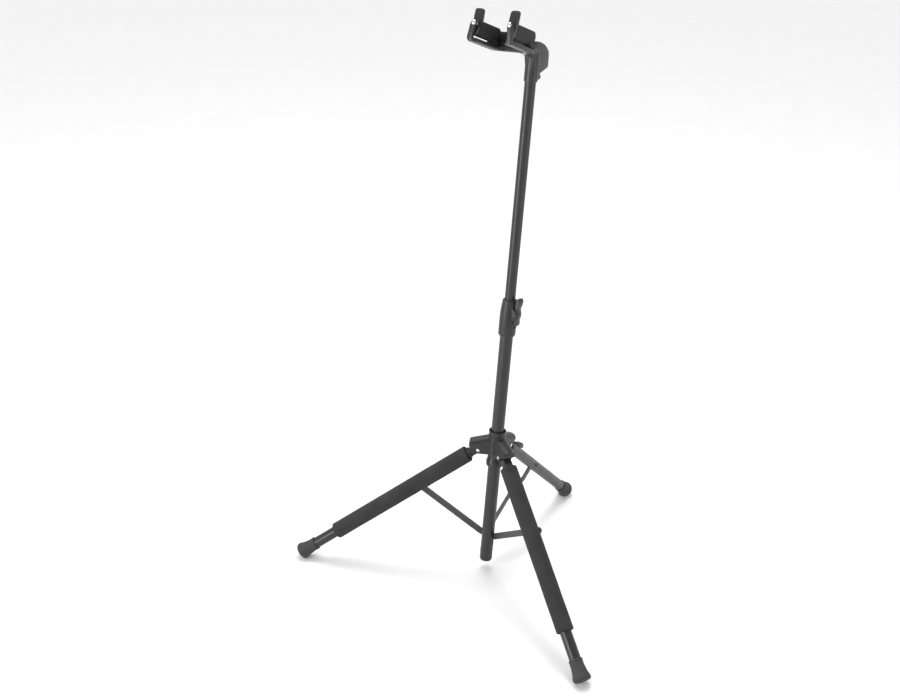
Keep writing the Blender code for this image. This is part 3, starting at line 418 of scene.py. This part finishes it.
def turned(profile, origin, direction, steps, ripple=None):
    """Turn a closed (radius, distance) outline about a line; ripple(point, angle) adds to the radius."""
    turn = direction.to_track_quat("Z", "Y").to_matrix().to_4x4()
    world = Matrix.Translation(origin) @ turn
    bm = bmesh.new()
    rings = []
    for radius, height in profile:
        ring = []
        for k in range(steps):
            a = 2.0 * math.pi * k / steps
            r = radius + (ripple(radius, height, a) if ripple else 0.0)
            ring.append(bm.verts.new(world @ Vector((r * math.cos(a), r * math.sin(a), height))))
        rings.append(ring)
    for low, high in zip(rings, rings[1:] + rings[:1]):
        for k in range(steps):
            n = (k + 1) % steps
            bm.faces.new((low[k], low[n], high[n], high[k]))
    return bm


def corner(cx, cz, radius, start, end, count):
    """Points round an arc between two angles in degrees."""
    points = []
    for k in range(count + 1):
        a = math.radians(start + (end - start) * k / count)
        points.append((cx + radius * math.cos(a), cz + radius * math.sin(a)))
    return points


def foam_sleeve(side):
    """Foam tube pushed on the leg: soft ends, hand-pressed dents and a slight waviness."""
    origin, direction = leg_axis(side)
    node = "foam_" + side
    low, high, bore, outer = extent(node, origin, direction)
    rim = FOAM_RIM
    straight = high - low - 2.0 * rim
    profile = [(bore, low + rim), (bore + 0.5 * MM, low + 0.8 * MM), (bore + 1.6 * MM, low)]
    profile += corner(outer - rim, low + rim, rim, -90.0, 0.0, 6)
    profile += [(outer, low + rim + straight * k / FOAM_RINGS) for k in range(1, FOAM_RINGS)]
    profile += corner(outer - rim, high - rim, rim, 0.0, 90.0, 6)
    profile += [(bore + 1.6 * MM, high), (bore + 0.5 * MM, high - 0.8 * MM), (bore, high - rim)]

    def ripple(radius, height, angle):
        if radius < outer - rim * 1.01:
            return 0.0
        spot = Vector((math.cos(angle) * 0.8, math.sin(angle) * 0.8, height * 32.0 + FOAM_SEED[side]))
        broad = noise.noise(spot)
        fine = noise.noise(spot * 4.3 + Vector((5.0, 1.0, 2.0)))
        return (-0.16 + 0.22 * broad + 0.07 * fine) * MM

    bm = turned(profile, origin, direction, FOAM_STEPS, ripple)
    sleeve = piece("foam_sleeve_" + side, bm, "foam", "leg_" + side, node)


def softened(name, node, slot, body, voxel, rounds):
    """A CAD solid remade with soft arrises, as moulded rubber has."""
    bm = bmesh.new()
    bm.from_mesh(NODES[node].data)
    bmesh.ops.remove_doubles(bm, verts=bm.verts[:], dist=WELD)
    obj = piece(name, bm, slot, body, node)
    remesh = obj.modifiers.new("remesh", "REMESH")
    remesh.mode = "VOXEL"
    remesh.voxel_size = voxel
    remesh.use_smooth_shade = True
    relax = obj.modifiers.new("relax", "SMOOTH")
    relax.factor = 0.5
    relax.iterations = rounds
    return obj


def rubber_foot(side):
    """Moulded rubber foot: collar bead, flare and rounded rim."""
    softened("rubber_foot_" + side, "foot_" + side, "foot_rubber", "leg_" + side, FOOT_VOXEL, 4)


def neck_pad(side):
    """Thick rubber pad that the headstock rests on."""
    pad = softened("neck_pad_" + side, "pad_" + side, "pad_rubber", "gate_" + side, PAD_VOXEL, 5)


for side in ("left", "right"):
    foam_sleeve(side)
    neck_pad(side)
for side in ("left", "right", "rear"):
    rubber_foot(side)


# ---------------------------------------------------------------- floor, light and camera


def pale_floor():
    """A wide round floor with a faint mottling, dropped a hair under the feet."""
    bm = bmesh.new()
    centre = bm.verts.new((0.0, 0.0, 0.0))
    rings = []
    for radius in FLOOR_RINGS:
        ring = []
        for k in range(FLOOR_STEPS):
            a = 2.0 * math.pi * k / FLOOR_STEPS
            ring.append(bm.verts.new((radius * math.cos(a), radius * math.sin(a), 0.0)))
        rings.append(ring)
    for k in range(FLOOR_STEPS):
        n = (k + 1) % FLOOR_STEPS
        bm.faces.new((centre, rings[0][k], rings[0][n]))
        for low, high in zip(rings, rings[1:]):
            bm.faces.new((low[k], high[k], high[n], low[n]))
    mesh = bpy.data.meshes.new("floor")
    bm.to_mesh(mesh)
    bm.free()
    floor = bpy.data.objects.new("floor", mesh)
    floor.location.z = CAD_LOW[2] - FLOOR_DROP
    bpy.context.scene.collection.objects.link(floor)
    look = Look("floor_look", 0.85, specular=0.1)
    look.colour(look.ramp(look.noise(9.0, 4.0, 0.6), (0.3, 0.885), (0.7, 0.90)))
    mesh.materials.append(look.material)
    floor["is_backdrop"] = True


def softbox(name, place, target, size, watts):
    """A rectangular lamp at a place, aimed at a target."""
    data = bpy.data.lights.new(name, "AREA")
    data.shape = "RECTANGLE"
    data.size, data.size_y = size
    data.energy = watts
    lamp = bpy.data.objects.new(name, data)
    lamp.location = place
    lamp.rotation_mode = "QUATERNION"
    lamp.rotation_quaternion = (Vector(target) - Vector(place)).to_track_quat("-Z", "Y")
    bpy.context.scene.collection.objects.link(lamp)


def daylight(name, direction, strength, spread):
    """Very soft light from far away, which keeps the whole floor evenly pale."""
    data = bpy.data.lights.new(name, "SUN")
    data.energy = strength
    data.angle = spread
    lamp = bpy.data.objects.new(name, data)
    lamp.rotation_mode = "QUATERNION"
    lamp.rotation_quaternion = Vector(direction).to_track_quat("-Z", "Y")
    bpy.context.scene.collection.objects.link(lamp)


def studio():
    """White surround, three softboxes and a soft sky."""
    world = bpy.data.worlds.new("studio")
    world.use_nodes = True
    tree = world.node_tree
    split = tree.nodes.new("ShaderNodeSeparateXYZ")
    tree.links.new(tree.nodes.new("ShaderNodeTexCoord").outputs["Generated"], split.inputs[0])
    fade = tree.nodes.new("ShaderNodeMapRange")
    for socket, number in zip(fade.inputs[1:5], SURROUND_FADE):
        socket.default_value = number
    tree.links.new(split.outputs["Z"], fade.inputs[0])
    tree.nodes["Background"].inputs["Color"].default_value = WHITE
    tree.links.new(fade.outputs[0], tree.nodes["Background"].inputs["Strength"])
    bpy.context.scene.world = world
    bpy.context.scene.view_settings.view_transform = "Standard"
    for box in SOFTBOXES:
        softbox(*box)
    daylight("sky", SKY_DIRECTION, SKY_STRENGTH, SKY_SPREAD)


def camera():
    """Half above and to the right of the player's side, with the small roll of a hand-held camera."""
    yaw, pitch, roll = CAMERA_YAW, CAMERA_PITCH, CAMERA_ROLL
    back = Vector((math.sin(yaw) * math.cos(pitch), -math.cos(yaw) * math.cos(pitch), math.sin(pitch)))
    level = Vector((math.cos(yaw), math.sin(yaw), 0.0))
    up = back.cross(level)
    right = math.cos(roll) * level + math.sin(roll) * up
    upright = math.cos(roll) * up - math.sin(roll) * level
    turn = Matrix((right, upright, back)).transposed().to_4x4()
    data = bpy.data.cameras.new("camera")
    data.sensor_width = 36.0
    data.lens = CAMERA_LENS
    eye = bpy.data.objects.new("camera", data)
    eye.matrix_world = Matrix.Translation(CAMERA_PLACE) @ turn
    bpy.context.scene.collection.objects.link(eye)
    bpy.context.scene.camera = eye


pale_floor()
studio()
camera()

bpy.context.view_layer.update()
